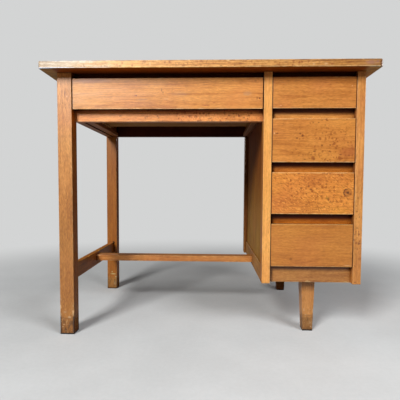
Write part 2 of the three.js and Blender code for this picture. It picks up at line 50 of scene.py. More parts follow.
# ------------------------------------------------------------------ node graphs
class Graph:
    """Adds nodes to a tree. Wherever a value goes in, it may be a constant or a socket."""

    def __init__(self, tree):
        self.tree = tree

    def add(self, kind, **settings):
        node = self.tree.nodes.new(kind)
        for key, value in settings.items():
            setattr(node, key, value)
        return node

    def set(self, socket, value):
        if isinstance(value, bpy.types.NodeSocket):
            self.tree.links.new(value, socket)
        else:
            socket.default_value = value

    def fill(self, node, values):
        """Sets inputs by name or index."""
        for key, value in values.items():
            self.set(node.inputs[key], value)
        return node

    def group(self, tree, values):
        return self.fill(self.add("ShaderNodeGroup", node_tree=tree), values).outputs

    def math(self, operation, first, second=0.0, third=0.0, clamp=False):
        node = self.add("ShaderNodeMath", operation=operation, use_clamp=clamp)
        return self.fill(node, {0: first, 1: second, 2: third}).outputs[0]

    def mul(self, first, second, clamp=False):
        return self.math("MULTIPLY", first, second, clamp=clamp)

    def plus(self, first, second, clamp=False):
        return self.math("ADD", first, second, clamp=clamp)

    def minus(self, first, second, clamp=False):
        return self.math("SUBTRACT", first, second, clamp=clamp)

    def least(self, first, second):
        return self.math("MINIMUM", first, second)

    def most(self, first, second):
        return self.math("MAXIMUM", first, second)

    def vector(self, operation, first, second=(0, 0, 0)):
        node = self.add("ShaderNodeVectorMath", operation=operation)
        return self.fill(node, {0: first, 1: second}).outputs["Vector"]

    def length(self, vector):
        node = self.add("ShaderNodeVectorMath", operation="LENGTH")
        return self.fill(node, {0: vector, 1: (0, 0, 0)}).outputs["Value"]

    def join(self, x, y, z):
        return self.fill(self.add("ShaderNodeCombineXYZ"), {0: x, 1: y, 2: z}).outputs[0]

    def split(self, vector):
        return tuple(self.fill(self.add("ShaderNodeSeparateXYZ"), {0: vector}).outputs)

    def noise(self, vector, scale, detail=2.0, rough=0.5, w=None, output="Fac"):
        """Noise; scale is one number or one per axis, and w picks a pattern."""
        if isinstance(scale, tuple):
            vector, scale = self.vector("MULTIPLY", vector, scale), 1.0
        node = self.add("ShaderNodeTexNoise", noise_dimensions="3D" if w is None else "4D")
        self.fill(node, {"Vector": vector, "Scale": scale, "Detail": detail, "Roughness": rough})
        if w is not None:
            self.set(node.inputs["W"], w)
        return node.outputs[output]

    def swing(self, *args, **settings):
        """Noise centred on zero."""
        return self.minus(self.noise(*args, **settings), 0.5)

    def jitter(self, vector, scale, reach, detail, rough, w=None):
        """A random offset of about reach metres."""
        offset = self.noise(vector, scale, detail, rough, w, output="Color")
        offset = self.vector("SUBTRACT", offset, (0.5, 0.5, 0.5))
        node = self.add("ShaderNodeVectorMath", operation="SCALE")
        return self.fill(node, {0: offset, 1: (0, 0, 0), "Scale": reach}).outputs["Vector"]

    def step(self, value, start, end, low=0.0, high=1.0):
        """Smooth step: low where value is at start, high where it is at end."""
        node = self.add("ShaderNodeMapRange", interpolation_type="SMOOTHSTEP")
        return self.fill(node, {"Value": value, "From Min": start, "From Max": end,
                                "To Min": low, "To Max": high}).outputs["Result"]

    def mix(self, amount, first, second, mode="MIX"):
        node = self.add("ShaderNodeMix", data_type="RGBA", blend_type=mode)
        return self.fill(node, {0: amount, 6: first, 7: second}).outputs[2]

    def mix_shader(self, amount, first, second):
        node = self.add("ShaderNodeMixShader")
        return self.fill(node, {0: amount, 1: first, 2: second}).outputs[0]


def new_group(name, vectors, floats, outputs):
    """Returns a shader group's graph, its given sockets and its output node."""
    tree = bpy.data.node_groups.new(name, "ShaderNodeTree")
    sockets = [(label, "INPUT", "NodeSocketVector") for label in vectors]
    sockets += [(label, "INPUT", "NodeSocketFloat") for label in floats]
    sockets += [(label, "OUTPUT", "NodeSocketFloat") for label in outputs]
    for label, side, kind in sockets:
        tree.interface.new_socket(label, in_out=side, socket_type=kind)
    graph = Graph(tree)
    return graph, graph.add("NodeGroupInput").outputs, graph.add("NodeGroupOutput")


def make_wood_group():
    """Solid wood in three dimensions. Coord is in metres with x along the grain and the pith at
    the origin of y and z. Value runs from 0 (light) to 1 (dark)."""
    g, given, result = new_group(
        "solid_wood", ["Coord"], ["Seed", "Ring", "Figure", "Streak", "Fibre", "Mottle"],
        ["Value", "Height", "Pores", "Cloud"])
    coord, seed = given["Coord"], given["Seed"]
    # slow wander of the stem, then finer waviness
    bent = g.vector("ADD", coord, g.jitter(
        coord, (1.8, 6.0, 6.0), reach=0.036, detail=2.0, rough=0.5, w=seed))
    bent = g.vector("ADD", bent, g.jitter(
        coord, (16.0, 60.0, 60.0), reach=0.0030, detail=2.0, rough=0.55, w=seed))
    _, across, depth = g.split(bent)
    along = g.split(coord)[0]

    # rings counted from the pith, of uneven width; the fraction is the growth within a year
    radius = g.length(g.join(0.0, across, depth))
    ring = g.math("DIVIDE", radius, g.mul(given["Ring"], MM))
    uneven = g.noise(g.join(0.0, g.mul(ring, 0.31), 0.0), 1.0, detail=1.0, w=seed)
    ring = g.plus(ring, g.mul(uneven, 3.0))
    growth = g.math("FRACT", ring)
    # late wood darkens through the year and stops short at its end, more in some years
    late = g.mul(g.step(growth, 0.15, 0.85), g.step(growth, 1.0, 0.90))
    year = g.join(0.0, g.mul(g.math("FLOOR", ring), 0.73), 0.0)
    year = g.noise(year, 1.0, detail=0.0, w=seed)
    late = g.mul(late, g.step(year, 0.25, 0.7, 0.25, 1.0))
    late = g.minus(late, 0.35)

    # marks drawn out along the grain, then broad clouds and a small mottle
    stem = g.join(along, across, depth)
    fibre = g.swing(stem, (11.0, 520.0, 520.0), detail=3.0, rough=0.62, w=seed)
    streak = g.swing(stem, (4.0, 150.0, 150.0), detail=3.0, rough=0.6, w=seed)
    cloud = g.swing(coord, (6.0, 17.0, 17.0), detail=3.0, rough=0.55, w=seed)
    mottle = g.swing(coord, (75.0, 150.0, 150.0), detail=3.0, rough=0.65, w=seed)
    pores = g.noise(stem, (80.0, 1500.0, 1500.0), detail=1.0, rough=0.5, w=seed)
    pores = g.mul(g.step(pores, 0.60, 0.74), g.step(growth, 0.9, 0.2, 0.35, 1.0))

    value = g.mul(late, given["Figure"])
    value = g.plus(value, g.mul(fibre, given["Fibre"]))
    value = g.plus(value, g.mul(streak, given["Streak"]))
    value = g.plus(value, g.mul(g.mul(mottle, 0.62), given["Mottle"]))
    value = g.plus(value, g.mul(cloud, 1.1))
    # the middle tone of the wood
    value = g.plus(value, 0.46, clamp=True)
    height = g.plus(g.mul(fibre, 1.2), g.mul(pores, -0.9))
    height = g.plus(height, g.mul(late, 0.2))
    g.fill(result, {"Value": value, "Height": height, "Pores": pores, "Cloud": cloud})
    return g.tree


def make_edge_group():
    """Distance in metres from a point on a box's skin to its nearest arris."""
    g, given, result = new_group("edge_distance", ["Pos", "Lo", "Hi"], [], ["Dist"])
    from_low = g.vector("SUBTRACT", given["Pos"], given["Lo"])
    from_high = g.vector("SUBTRACT", given["Hi"], given["Pos"])
    inside = g.vector("MAXIMUM", g.vector("MINIMUM", from_low, from_high), (0, 0, 0))
    x, y, z = g.split(inside)
    # on the skin one distance is zero, so the second smallest reaches the arris
    g.fill(result, {"Dist": g.most(g.least(x, y), g.least(g.most(x, y), z))})
    return g.tree


def make_mark_group():
    """A ragged ellipse in x and z. Mask is 1 in its middle and 0 outside; Ring is a rim, stronger
    on its left side, round a dark core and a faint stain."""
    g, given, result = new_group("mark", ["Pos", "At", "Size"], ["Wobble", "Noise"],
                                 ["Mask", "Ring"])
    offset = g.vector("SUBTRACT", given["Pos"], given["At"])
    x, _, z = g.split(g.vector("DIVIDE", offset, given["Size"]))
    reach = g.length(g.join(x, 0.0, z))
    reach = g.plus(reach, g.mul(g.minus(given["Noise"], 0.5), given["Wobble"]))
    rim = g.mul(g.step(reach, 0.66, 0.80), g.step(reach, 1.10, 0.94))
    rim = g.mul(rim, g.step(x, 0.5, -0.9, 0.35, 1.0))
    core = g.step(reach, 0.42, 0.20)
    stain = g.mul(g.step(reach, 1.1, 0.5), 0.38)
    g.fill(result, {"Mask": g.step(reach, 1.15, 0.35), "Ring": g.most(rim, g.most(core, stain))})
    return g.tree


WOOD, EDGE, MARK = make_wood_group(), make_edge_group(), make_mark_group()

# ------------------------------------------------------------------ palettes
# light, middle and dark tone of each wood, 8-bit sRGB
FRAME = ((228, 154, 78), (206, 132, 61), (168, 98, 38))
PALE = ((253, 184, 100), (242, 166, 83), (212, 136, 60))
FRONT = ((220, 148, 72), (200, 127, 56), (162, 92, 34))
REDDISH = ((222, 148, 82), (200, 124, 62), (156, 88, 40))
TOP = ((216, 154, 90), (190, 126, 64), (138, 82, 36))
PANEL = ((186, 122, 58), (164, 100, 42), (122, 70, 26))
BARE = ((228, 194, 144), (208, 168, 114), (164, 120, 74))
INNER = ((172, 108, 50), (146, 86, 36), (102, 56, 20))

STAIN_COLOURS = {
    "dark": (104, 48, 18), "light": (250, 214, 172), "blot": (168, 92, 46), "ring": (92, 48, 26),
    "green": (112, 92, 30), "yellow": (222, 176, 60), "grey": (166, 126, 96),
    "mauve": (170, 112, 92), "black": (30, 16, 8), "white": (255, 252, 240),
}


@dataclass
class Look:
    """The wood of one piece. Lengths are millimetres unless noted; tints multiply r, g and b."""
    seed: float
    pith: tuple  # offset of the pith from the piece's middle, two ways across the grain, metres
    palette: tuple = FRAME
    # grain: ring width, then the strength of each part of the figure
    ring: float = 2.4
    figure: float = 0.30
    streak: float = 1.2
    fibre: float = 1.0
    mottle: float = 0.8
    speck: float = 1.0  # fine speckle and ticks
    planks: float = 0.0  # width in metres of the boards glued edge to edge; 0 for one board
    # varnish
    rough: float = 0.40
    coat: float = 0.25
    spec: float = 0.42
    hue: float = 1.0  # reddened and yellowed patches
    bump: float = 1.0
    # wear and dirt, and some painted shade (the dark ends of the rims, one stain)
    wear: float = 1.0  # reach of the rubbed arrises
    wear_z: bool = False  # rub only the top and bottom edges
    scratch: float = 0.3
    feet: float = 0.0  # floor dirt
    rims: tuple = ()  # (strength, height) of the top, bottom and end lines; top < 0 is dark; dark ends are painted shade
    dots: tuple = ()  # (cell size, density, strength, centre x, centre z, reach)
    flecks: tuple = ()  # angle in radians and strength
    stains: tuple = ()  # see STAINS
    # tone, much of it painted light and shade
    tint: tuple = ()
    fade: tuple = ()  # (axis, start, end, tint at start, tint at end); mostly painted shade and light
    front_zones: tuple = ()  # painted highlight and shade along the front: (start x, end x, tint before, tint after, wander of the blend)
    shade: tuple = ()  # painted shade and light on faces: (axis, side, tint), and optionally (start, end, tint of the ends)


def clear_nodes(owner):
    owner.use_nodes = True
    owner.node_tree.nodes.clear()
    return owner.node_tree


class Wood(Graph):
    """Varnished wood for the box from low to high, laid on in layers."""
    # the axis along the grain and the two across it
    AXES = {"x": (0, 1, 2), "y": (1, 0, 2), "z": (2, 0, 1)}

    def __init__(self, name, grain, low, high, look):
        self.material = bpy.data.materials.new(name)
        super().__init__(clear_nodes(self.material))
        self.grain, self.low, self.high, self.look = grain, low, high, look
        self.middle = [(start + end) / 2 for start, end in zip(low, high)]
        self.position = self.add("ShaderNodeTexCoord").outputs["Object"]
        self.x, self.y, self.z = self.split(self.position)
        self.lay_grain()
        self.lay_speckle()
        if look.planks:
            self.lay_joints()
        self.roughness = self.plus(
            look.rough - 0.06, self.mul(self.patches(30.0, detail=3.0, rough=0.6), 0.12))
        self.edge = self.group(EDGE, {"Pos": self.position, "Lo": low, "Hi": high})[0]
        self.lay_grime()
        if look.flecks:
            self.lay_flecks(*look.flecks)
        for index, spread in enumerate(look.dots):
            self.lay_dots(index, *spread)
        if look.stains:
            self.lay_stains()
        self.lay_wear()
        if look.rims:
            self.lay_rims(*look.rims)
        self.lay_scratches()
        self.lay_fades()
        if look.feet > 0:
            self.lay_floor_dirt(look.feet)
        if look.front_zones:
            self.lay_front_zones()
        shaded = self.lay_shade() if look.shade else None
        if look.tint:
            self.tone((*look.tint, 1))
        self.finish(shaded)

    # --- tools of the layers
    def paint(self, mask, rgb, strength=None, clamp=False):
        amount = mask if strength is None else self.mul(mask, strength, clamp)
        self.colour = self.mix(amount, self.colour, srgb(*rgb))

    def tone(self, tint):
        self.colour = self.mix(1.0, self.colour, tint, "MULTIPLY")

    def tone_where(self, mask, tint):
        toned = self.mix(1.0, self.colour, tint, "MULTIPLY")
        self.colour = self.mix(mask, self.colour, toned)

    def blend(self, amount, first_tint, second_tint):
        return self.mix(amount, (*first_tint, 1), (*second_tint, 1))

    def patches(self, scale, detail, rough, shift=0.0):
        """Noise over the piece; shift picks a pattern of its own."""
        return self.noise(self.position, scale, detail, rough, w=self.look.seed + shift)

    def streaks(self, along, across, detail, rough, shift=0.0):
        """Noise drawn out along the grain."""
        place = self.join(self.mul(self.along, along), self.mul(self.across, across),
                          self.mul(self.depth, across))
        return self.noise(place, 1.0, detail, rough, w=self.look.seed + shift)

    @cached_property
    def front_face(self):
        """1 on the front of the piece, 0 behind it."""
        return self.step(self.y, self.low[1] + 0.006, self.low[1] + 0.003)

    # --- layers
    def lay_grain(self):
        look, middle = self.look, self.middle
        first, second, third = self.AXES[self.grain]
        places = (self.x, self.y, self.z)
        self.along = self.minus(places[first], middle[first])
        self.across = self.minus(places[second], middle[second] + look.pith[0])
        self.depth = self.minus(places[third], middle[third] + look.pith[1])
        seed = look.seed
        if look.planks:
            # each board is cut from another part of another stem
            start = self.low[second]
            count = self.math("DIVIDE", self.minus(places[second], start), look.planks)
            plank = self.plank = self.math("FLOOR", count)
            part = self.math("FRACT", count)
            seed = self.plus(self.mul(plank, 7.31), seed)
            offset = self.mul(self.math("SINE", self.mul(plank, 12.9)), 0.09)
            self.across = self.plus(self.across, offset)
            self.along = self.plus(self.along, self.mul(plank, 0.731))
            to_joint = self.least(part, self.minus(1.0, part))
            joint = self.mul(self.step(to_joint, 0.0045, 0.001), 0.55)
            # no joint at the outer edge of the first board
            inside = self.step(places[second], start + 0.02, start + 0.03)
            self.joint = self.mul(joint, inside)
        wood = self.group(WOOD, {
            "Coord": self.join(self.along, self.across, self.depth), "Seed": seed,
            "Ring": look.ring, "Figure": look.figure, "Streak": look.streak,
            "Fibre": look.fibre, "Mottle": look.mottle})
        value, self.height = wood["Value"], wood["Height"]
        light, mid, dark = look.palette
        lighter = self.mix(self.mul(value, 2.0, clamp=True), srgb(*light), srgb(*mid))
        darker = self.minus(self.mul(value, 2.0), 1.0, clamp=True)
        self.colour = self.mix(darker, lighter, srgb(*dark))
        self.paint(wood["Pores"], (104, 56, 20), strength=0.28)

    def lay_speckle(self):
        speck, hue = self.look.speck, self.look.hue
        # fine speckle of old open-grained varnish, deepest in blue
        fine = self.streaks(along=90.0, across=420.0, detail=2.0, rough=0.6, shift=8.8)
        fine = self.step(fine, 0.30, 0.70, 1.0 + 0.10 * speck, 1.0 - 0.13 * speck)
        self.tone(self.join(fine, self.math("POWER", fine, 1.25), self.math("POWER", fine, 1.6)))
        # brown ticks, in some places more than others
        ticks = self.streaks(along=150.0, across=620.0, detail=1.0, rough=0.5, shift=6.6)
        places = self.patches(11.0, detail=2.0, rough=0.5, shift=2.6)
        places = self.step(places, 0.38, 0.62, 0.25, 1.0)
        ticks = self.mul(self.step(ticks, 0.60, 0.70), places)
        self.paint(ticks, (120, 64, 24), strength=0.34 * speck)
        # patches where the varnish has reddened or yellowed
        patch = self.patches(8.0, detail=2.0, rough=0.5, shift=3.1)
        self.paint(self.step(patch, 0.50, 0.72, 0.0, 0.20 * hue), (205, 116, 72))
        self.paint(self.step(patch, 0.50, 0.30, 0.0, 0.18 * hue), (214, 152, 66))

    def lay_joints(self):
        """A tone for each board of the glued slab, and the dark joints."""
        wave = self.math("SINE", self.mul(self.plank, 4.7))
        tone = self.math("MULTIPLY_ADD", wave, 0.07, 1.0)
        self.tone(self.join(tone, tone, tone))
        self.paint(self.joint, (70, 38, 16))

    def lay_grime(self):
        """Grime that gathers a little inside the arrises."""
        patch = self.patches(26.0, detail=3.0, rough=0.6, shift=1.3)
        grime = self.mul(self.step(self.edge, 0.009, 0.001), self.step(patch, 0.42, 0.70))
        self.paint(grime, (112, 62, 26), strength=0.25)

    def lay_flecks(self, angle, strength):
        """Short slanting flecks in the plane of the front, dark and light."""
        cosine, sine = math.cos(angle), math.sin(angle)
        along = self.plus(self.mul(self.x, cosine), self.mul(self.z, sine))
        across = self.plus(self.mul(self.x, -sine), self.mul(self.z, cosine))
        wander = self.mul(self.swing(self.position, 26.0, detail=2.0, rough=0.5), 0.030)
        place = self.join(self.mul(along, 85.0), self.mul(self.plus(across, wander), 330.0), 0.0)
        fleck = self.noise(place, 1.0, detail=2.0, rough=0.55, w=self.look.seed + 9.0)
        patch = self.patches(13.0, detail=2.0, rough=0.5, shift=4.0)
        dark = self.mul(self.step(fleck, 0.54, 0.66), self.step(patch, 0.34, 0.56, 0.35, 1.0))
        light = self.mul(self.step(fleck, 0.44, 0.34), self.step(patch, 0.60, 0.40, 0.25, 1.0))
        self.paint(dark, (146, 78, 30), strength=0.50 * strength)
        self.paint(light, (240, 178, 92), strength=0.42 * strength)

    def lay_dots(self, index, size, density, strength, centre_x, centre_z, reach):
        """Specks: one in each cell, many cells empty, thicker round the centre."""
        seed = self.look.seed
        ragged = self.jitter(self.position, 170.0, reach=0.0075, detail=3.0, rough=0.6)
        x, _, z = self.split(self.vector("ADD", self.position, ragged))
        place = self.join(self.plus(x, seed * 0.13 + index), self.plus(z, seed * 0.07), 0.0)
        cells = self.add("ShaderNodeTexVoronoi", voronoi_dimensions="2D")
        self.fill(cells, {"Vector": place, "Scale": 1.0 / (size * MM)})
        # three random numbers a cell: whether it has a speck, its size, its strength
        chance, bulk, depth = self.split(cells.outputs["Color"])
        radius = self.math("MULTIPLY_ADD", self.mul(bulk, bulk), 0.34, 0.16)
        dot = self.step(cells.outputs["Distance"],
                        self.mul(radius, 1.25), self.mul(radius, 0.45))
        away = self.length(self.join(self.minus(self.x, centre_x * MM), 0.0,
                                     self.minus(self.z, centre_z * MM)))
        near = self.step(away, reach * MM, reach * MM * 0.15, 0.04, 1.0)
        patch = self.patches(34.0, detail=2.0, rough=0.5, shift=5.0 + index)
        crowd = self.mul(near, self.step(patch, 0.40, 0.58, 0.10, 1.0))
        keep = self.step(chance, self.minus(1.0, self.mul(crowd, density)),
                         self.minus(1.04, self.mul(crowd, density)))
        depth = self.step(depth, 0.0, 1.0, 0.55 * strength, 1.15 * strength)
        amount = self.mul(self.mul(dot, keep), self.mul(depth, self.front_face), clamp=True)
        self.paint(amount, (132, 58, 16))

    def lay_stains(self):
        ragged = self.noise(self.position, 300.0, detail=2.0, rough=0.6)
        for kind, *places in self.look.stains:
            gain = 0.75 if kind == "light" else 1.25
            for x, z, half_width, half_height, strength in places:
                # small dark stains spread further
                grow = 1.45 if kind in ("dark", "black") and half_width < 6 else 1.1
                mark = self.group(MARK, {
                    "Pos": self.position, "At": (x * MM, 0.0, z * MM),
                    "Size": (half_width * MM * grow, 1.0, half_height * MM * grow),
                    "Wobble": 0.55 if kind == "ring" else 1.0, "Noise": ragged})
                mask = mark["Ring" if kind == "ring" else "Mask"]
                self.paint(self.mul(mask, self.front_face), STAIN_COLOURS[kind],
                           strength=min(1.0, strength * gain))

    def lay_wear(self):
        """Arrises rubbed pale and dull, to an uneven depth."""
        patch = self.patches(60.0, detail=4.0, rough=0.65, shift=7.7)
        reach = self.mul(self.step(patch, 0.46, 0.78), 0.0030 * self.look.wear)
        if self.look.wear_z:
            distance = self.least(self.minus(self.z, self.low[2]),
                                  self.minus(self.high[2], self.z))
        else:
            distance = self.edge
        rubbed = self.step(self.minus(distance, reach), 0.0012, -0.0004)
        self.paint(rubbed, (238, 190, 132), strength=0.50)
        self.roughness = self.plus(self.roughness, self.mul(rubbed, 0.12))

    def lay_rims(self, top, bottom, ends):
        """A pale line along the top, dark where its strength is below 0, a pale line along the
        bottom, and dark ends that are painted shade of the gaps beside the piece.
        """
        low, high = self.low, self.high
        patch = self.patches((60.0, 1.0, 30.0), detail=3.0, rough=0.7, shift=1.9)
        patch = self.step(patch, 0.36, 0.62, 0.15, 1.0)
        strength, size = top
        line = self.step(self.z, high[2] - size * MM, high[2] - size * 0.35 * MM)
        line = self.mul(self.mul(line, patch), abs(strength) * 0.9)
        self.paint(self.mul(line, self.front_face),
                   (246, 206, 152) if strength > 0 else (104, 82, 60))
        strength, size = bottom
        line = self.step(self.z, low[2] + size * MM, low[2] + size * 0.35 * MM)
        line = self.mul(self.mul(line, patch), strength)
        self.paint(self.mul(line, self.front_face), (250, 212, 160))
        # painted shade: dark lines at the ends, where the gaps beside the piece are in shade
        strength, size = ends
        to_end = self.least(self.minus(self.x, low[0]), self.minus(high[0], self.x))
        self.paint(self.step(to_end, size * MM, size * 0.3 * MM), (66, 32, 12), strength)

    def lay_scratches(self):
        """Light scratches and rubs along the grain."""
        lines = self.streaks(along=24.0, across=320.0, detail=2.0, rough=0.5, shift=11.0)
        self.paint(self.step(lines, 0.70, 0.82, 0.0, self.look.scratch), (240, 198, 146))

    def lay_fades(self):
        """Tone that drifts along the piece; on most pieces it is painted shade and light, such as the
        shadow under a drawer front.
        """
        for axis, start, end, start_tint, end_tint in self.look.fade:
            place = (self.x, self.y, self.z)["xyz".index(axis)]
            drift = self.step(place, start * MM, end * MM)
            self.tone(self.blend(drift, start_tint, end_tint))

    def lay_floor_dirt(self, feet):
        """Scuffs and floor dirt, darkest at the very foot."""
        z, edge = self.z, self.edge
        patch = self.patches(60.0, detail=3.0, rough=0.6)
        height = self.plus(z, self.mul(self.minus(patch, 0.5), 0.016))
        foot = self.step(height, 0.048, 0.038)
        self.paint(foot, (128, 80, 30), strength=0.55 * feet)
        runs = self.patches((240.0, 240.0, 60.0), detail=3.0, rough=0.6, shift=2.2)
        line = self.math("ABSOLUTE", self.minus(height, 0.047))
        scuffs = self.patches((130.0, 130.0, 260.0), detail=3.0, rough=0.7, shift=2.0)
        chips = self.patches((110.0, 110.0, 50.0), detail=3.0, rough=0.65, shift=6.0)
        chips = self.mul(self.step(edge, 0.008, 0.003), self.step(chips, 0.50, 0.62))
        chip_band = self.mul(self.step(z, 0.13, 0.06), self.step(z, 0.045, 0.06))
        # mask, colour, strength
        layers = (
            # dark and light upright runs
            (self.mul(foot, self.step(runs, 0.50, 0.62)), (60, 34, 14), 0.60),
            (self.mul(foot, self.step(runs, 0.42, 0.34)), (206, 160, 104), 0.50),
            # the line where the dirt ends
            (self.step(line, 0.0028, 0.0006), (84, 46, 20), 0.34),
            # pale scuffs
            (self.mul(self.step(height, 0.10, 0.03), self.step(scuffs, 0.60, 0.68)),
             (238, 204, 160), 0.65),
            # dark arrises, and pale chips on them higher up
            (self.mul(self.step(edge, 0.0056, 0.0014), self.step(height, 0.070, 0.044)),
             (46, 26, 12), 0.80),
            (self.mul(chips, chip_band), (236, 198, 148), 0.42),
            # black line on the floor
            (self.step(z, 0.0050, 0.0022), (22, 13, 8), 0.85),
        )
        for mask, rgb, strength in layers:
            self.paint(mask, rgb, strength * feet, clamp=True)
        self.roughness = self.plus(self.roughness, self.mul(foot, 0.25))

    def lay_front_zones(self):
        """The front edge of the slab in zones from left to right: a painted pale highlight at the
        left end and painted shade growing towards the right.
        """
        ragged = self.swing(self.position, (14.0, 30.0, 120.0), detail=3.0, rough=0.6)
        for start, end, before, after, wander in self.look.front_zones:
            place = self.plus(self.x, self.mul(ragged, wander))
            zone = self.blend(self.step(place, start * MM, end * MM), before, after)
            front = self.step(self.y, self.low[1] + 0.006, self.low[1] + 0.002)
            self.tone_where(front, zone)

    def lay_shade(self):
        """Tints whole faces that point one way, mostly painted shade on faces out of the light and
        painted light on a few, and returns the mask of them all.
        """
        normal = self.split(self.add("ShaderNodeNewGeometry").outputs["Normal"])
        shaded = None
        for axis, side, tint, *ends in self.look.shade:
            outward = self.mul(normal["xyz".index(axis)], -1.0 if side == "lo" else 1.0)
            face = self.step(outward, 0.60, 0.85)
            shaded = face if shaded is None else self.most(shaded, face)
            tone = (*tint, 1)
            if ends:
                start, end, end_tint = ends
                away = self.math("ABSOLUTE", self.minus(self.x, self.middle[0]))
                tone = self.blend(self.step(away, start * MM, end * MM), tint, end_tint)
            self.tone_where(face, tone)
        return shaded

    def bump_node(self, height, distance):
        node = self.add("ShaderNodeBump")
        return self.fill(node, {"Strength": 1.0, "Distance": distance, "Height": height})

    def finish(self, shaded):
        look = self.look
        # painted shade: ambient occlusion darkens the corners, gaps and recesses between pieces to
        # dark brown
        corner = self.add("ShaderNodeAmbientOcclusion", samples=6)
        corner.inputs["Distance"].default_value = 0.055
        gloss = self.step(corner.outputs["AO"], 0.08, 0.72)
        self.tone(self.blend(gloss, (0.16, 0.07, 0.03), (1, 1, 1)))
        # the shaded faces are dull as well
        if shaded is not None:
            gloss = self.mul(gloss, self.math("MULTIPLY_ADD", shaded, -0.8, 1.0))
        # fibres and pores under a thin varnish, then the slow unevenness of a hand-planed board
        fine = self.bump_node(self.height, 0.00007 * look.bump).outputs["Normal"]
        slow = self.streaks(along=7.0, across=26.0, detail=1.0, rough=0.5)
        slow = self.bump_node(slow, 0.0010)
        self.set(slow.inputs["Normal"], fine)
        normal = slow.outputs["Normal"]
        surface = self.fill(self.add("ShaderNodeBsdfPrincipled"), {
            "Base Color": self.colour,
            "Roughness": self.roughness,
            "IOR": 1.46,
            "Specular IOR Level": self.math("MULTIPLY_ADD", gloss, look.spec, 0.06),
            "Coat Weight": self.mul(gloss, look.coat),
            "Coat Roughness": 0.30,
            "Coat IOR": 1.5,
            "Normal": normal,
            "Coat Normal": normal,
        })
        self.fill(self.add("ShaderNodeOutputMaterial"), {0: surface.outputs[0]})


